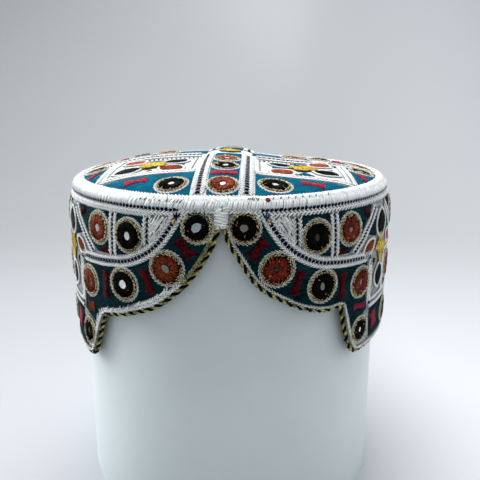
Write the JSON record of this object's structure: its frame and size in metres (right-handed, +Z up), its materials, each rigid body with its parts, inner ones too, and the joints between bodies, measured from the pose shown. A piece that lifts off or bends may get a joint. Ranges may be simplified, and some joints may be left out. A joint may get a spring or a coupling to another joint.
{
  "type": "sindhi topi on a plain round stand",
  "caption": "Round embroidered sindhi topi with mirror work, arched open over the forehead, shown on a plain round open stand.",
  "frame": {"origin": "centre of the stand's foot, on the table", "axes": "+Z up; the cap's front, with the arch, looks along -Y; +X is on the right of someone looking at the front"},
  "size_m": [0.184, 0.1856, 0.1901],
  "materials": {
    "stand": "satin white",
    "band_cloth": "quilted cotton covered in dense embroidery",
    "crown_cloth": "quilted cotton covered in dense embroidery",
    "white_thread": "whip-stitched cotton thread",
    "edge_cord": "twisted black and green-gold cord",
    "black_thread": "buttonhole-stitched thread ring round a small mirror",
    "rust_thread": "buttonhole-stitched thread ring round a small mirror"
  },
  "bodies": {
    "root": {"bar_tack": "white_thread", "crown": "crown_cloth", "crown_seam": "white_thread", "edge_cord": "edge_cord", "mirror_arch_low_left": "black_thread", "mirror_arch_low_right": "black_thread", "mirror_arch_side_left": "rust_thread", "mirror_arch_side_right": "rust_thread", "mirror_arch_top_left": "black_thread", "mirror_arch_top_right": "black_thread", "mirror_crown_back_beside_left": "black_thread", "mirror_crown_back_beside_right": "black_thread", "mirror_crown_back_inner": "rust_thread", "mirror_crown_back_middle": "black_thread", "mirror_crown_back_outer": "rust_thread", "mirror_crown_front_beside_left": "black_thread", "mirror_crown_front_beside_right": "black_thread", "mirror_crown_front_inner": "rust_thread", "mirror_crown_front_middle": "black_thread", "mirror_crown_front_outer": "rust_thread", "mirror_crown_left_beside_left": "black_thread", "mirror_crown_left_beside_right": "black_thread", "mirror_crown_left_inner": "rust_thread", "mirror_crown_left_middle": "black_thread", "mirror_crown_left_outer": "rust_thread", "mirror_crown_right_beside_left": "black_thread", "mirror_crown_right_beside_right": "black_thread", "mirror_crown_right_inner": "rust_thread", "mirror_crown_right_middle": "black_thread", "mirror_crown_right_outer": "rust_thread", "mirror_lobe_tip_left": "black_thread", "mirror_lobe_tip_right": "black_thread", "mirror_lobe_top_left": "rust_thread", "mirror_lobe_top_right": "rust_thread", "mirror_panel_back_left": "rust_thread", "mirror_panel_back_right": "rust_thread", "mirror_panel_front_left": "black_thread", "mirror_panel_front_right": "black_thread", "mirror_side_low_left": "black_thread", "mirror_side_low_right": "black_thread", "mirror_side_middle_left": "rust_thread", "mirror_side_middle_right": "rust_thread", "mirror_side_top_left": "rust_thread", "mirror_side_top_right": "rust_thread", "side_band": "band_cloth", "stand": "stand"}
  },
  "joints": []
}
